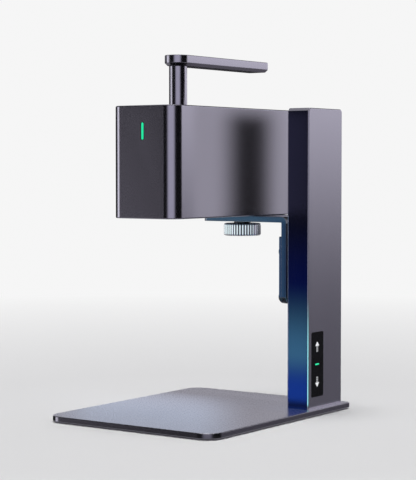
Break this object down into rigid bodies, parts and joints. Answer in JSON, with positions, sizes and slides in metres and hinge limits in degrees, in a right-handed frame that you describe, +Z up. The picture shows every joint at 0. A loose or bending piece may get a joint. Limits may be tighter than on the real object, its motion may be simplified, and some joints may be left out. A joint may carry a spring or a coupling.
{
  "type": "desktop laser cutter",
  "caption": "Desktop laser engraver: a scanning laser head on a bracket that a motorised column lifts above a flat base plate, with a pull-up swivelling handle.",
  "frame": {"origin": "on the floor under the middle of the base plate", "axes": "+Z up; -Y to the front, the head's light side; +X to the side with the lifting column"},
  "size_m": [0.155, 0.1954, 0.2807],
  "materials": {
    "anodised_dark": "bead-blasted dark grey anodising, satin",
    "anodised_plate": "bead-blasted grey anodising, satin",
    "bracket_dark": "dark anodised sheet, satin",
    "steel": "turned and plated",
    "black_steel": "black oxide",
    "lens_barrel": "matt black anodising",
    "bronze": "machined",
    "cast_alloy": "machined",
    "black_plastic": "matt moulded",
    "gloss_panel": "gloss black",
    "green_light": "lit light guide",
    "circuit_board": "solder mask",
    "optical_glass": "coated glass",
    "mirror_coat": "front-surface mirror",
    "rubber": "matt"
  },
  "bodies": {
    "stand": {"base_plate": "anodised_plate", "base_pad": "rubber", "column_screw_front": "black_steel", "column_screw_rear": "black_steel", "column_shell": "anodised_dark", "column_usb_socket": "steel", "panel_bezel": "gloss_panel", "panel_light_bar": "green_light", "control_board": "circuit_board", "lower_rod_block": "cast_alloy", "upper_rod_block": "cast_alloy", "guide_rod_front": "steel", "guide_rod_rear": "steel", "lower_screw_bearing": "steel", "upper_screw_bearing": "steel", "motor_mount": "cast_alloy", "gear_motor": "cast_alloy", "lower_limit_switch": "black_plastic", "upper_limit_switch": "black_plastic"},
    "lift": {"carriage": "cast_alloy", "lead_nut": "bronze", "rod_bush_front": "bronze", "rod_bush_rear": "bronze", "tongue_screw_lower": "black_steel", "tongue_screw_upper": "black_steel", "support_bracket": "bracket_dark", "bracket_cover": "bracket_dark", "cover_screw_front_lower": "black_steel", "cover_screw_front_upper": "black_steel", "cover_screw_rear_lower": "black_steel", "cover_screw_rear_upper": "black_steel", "head_shell": "anodised_dark", "head_top_cover": "anodised_dark", "head_bottom_cover": "anodised_dark", "head_light_bar": "green_light", "mount_insert": "steel", "handle_bush": "black_plastic", "lens_cell": "lens_barrel", "scan_lens": "optical_glass", "lens_window": "optical_glass", "galvo_mount": "cast_alloy", "galvo_motor_x": "black_steel", "galvo_motor_y": "black_steel", "laser_module": "bronze", "laser_heat_sink": "cast_alloy", "main_board": "circuit_board", "fan_frame": "black_plastic", "head_usb_socket": "steel"},
    "lead_screw": {"lead_screw": "steel", "shaft_coupling": "cast_alloy"},
    "up_key": {"up_key": "gloss_panel"},
    "down_key": {"down_key": "gloss_panel"},
    "scan_mirror_x": {"scan_mirror_x": "mirror_coat"},
    "scan_mirror_y": {"scan_mirror_y": "mirror_coat"},
    "fan_rotor": {"fan_rotor": "black_plastic"},
    "thumb_collar": {"thumb_collar": "black_steel"},
    "thumb_knob": {"thumb_knob": "steel"},
    "handle_post": {"handle_post": "anodised_dark", "handle_pivot_screw": "black_steel"},
    "handle_bar": {"handle_bar": "anodised_dark"}
  },
  "joints": [
    {"name": "head_lift", "type": "slide", "parent": "stand", "child": "lift", "axis": [0, 0, 1], "range_m": [-0.07, 0]},
    {"name": "lead_screw_spin", "type": "hinge", "parent": "stand", "child": "lead_screw", "pos_m": [0.0602, 0.06535, 0.08], "axis": [0, 0, 1], "range_deg": [-6305, 5]},
    {"name": "up_key_press", "type": "slide", "parent": "stand", "child": "up_key", "axis": [-1, 0, 0], "range_m": [0, 0.0006], "stiffness_N_per_m": 800, "springref_m": -0.0003},
    {"name": "down_key_press", "type": "slide", "parent": "stand", "child": "down_key", "axis": [-1, 0, 0], "range_m": [0, 0.0006], "stiffness_N_per_m": 800, "springref_m": -0.0003},
    {"name": "thumb_screw_travel", "type": "slide", "parent": "lift", "child": "thumb_collar", "axis": [0, 0, -1], "range_m": [0, 0.0064]},
    {"name": "thumb_screw_turn", "type": "hinge", "parent": "thumb_collar", "child": "thumb_knob", "pos_m": [-0.0107, 0.0714, 0.1436], "axis": [0, 0, -1], "range_deg": [0, 1800]},
    {"name": "handle_slide", "type": "slide", "parent": "lift", "child": "handle_post", "axis": [0, 0, 1], "range_m": [-0.0292, 0]},
    {"name": "handle_swivel", "type": "hinge", "parent": "handle_post", "child": "handle_bar", "pos_m": [-0.0107, -0.0178, 0.274], "axis": [0, 0, 1], "range_deg": [0, 180]},
    {"name": "scan_mirror_x_turn", "type": "hinge", "parent": "lift", "child": "scan_mirror_x", "pos_m": [-0.024, -0.0036, 0.1835], "axis": [0, 0, 1], "range_deg": [-10, 10]},
    {"name": "scan_mirror_y_turn", "type": "hinge", "parent": "lift", "child": "scan_mirror_y", "pos_m": [-0.0107, -0.0036, 0.1835], "axis": [0, 1, 0], "range_deg": [-10, 10]},
    {"name": "fan_spin", "type": "hinge", "parent": "lift", "child": "fan_rotor", "pos_m": [-0.018, 0.0837, 0.1955], "axis": [0, 1, 0], "continuous": true}
  ],
  "couplings": [
    {"joint": "lead_screw_spin", "follows": "head_lift", "rad_per_m": 1570.8},
    {"joint": "thumb_screw_travel", "follows": "thumb_screw_turn", "m_per_rad": 0.00020213}
  ]
}
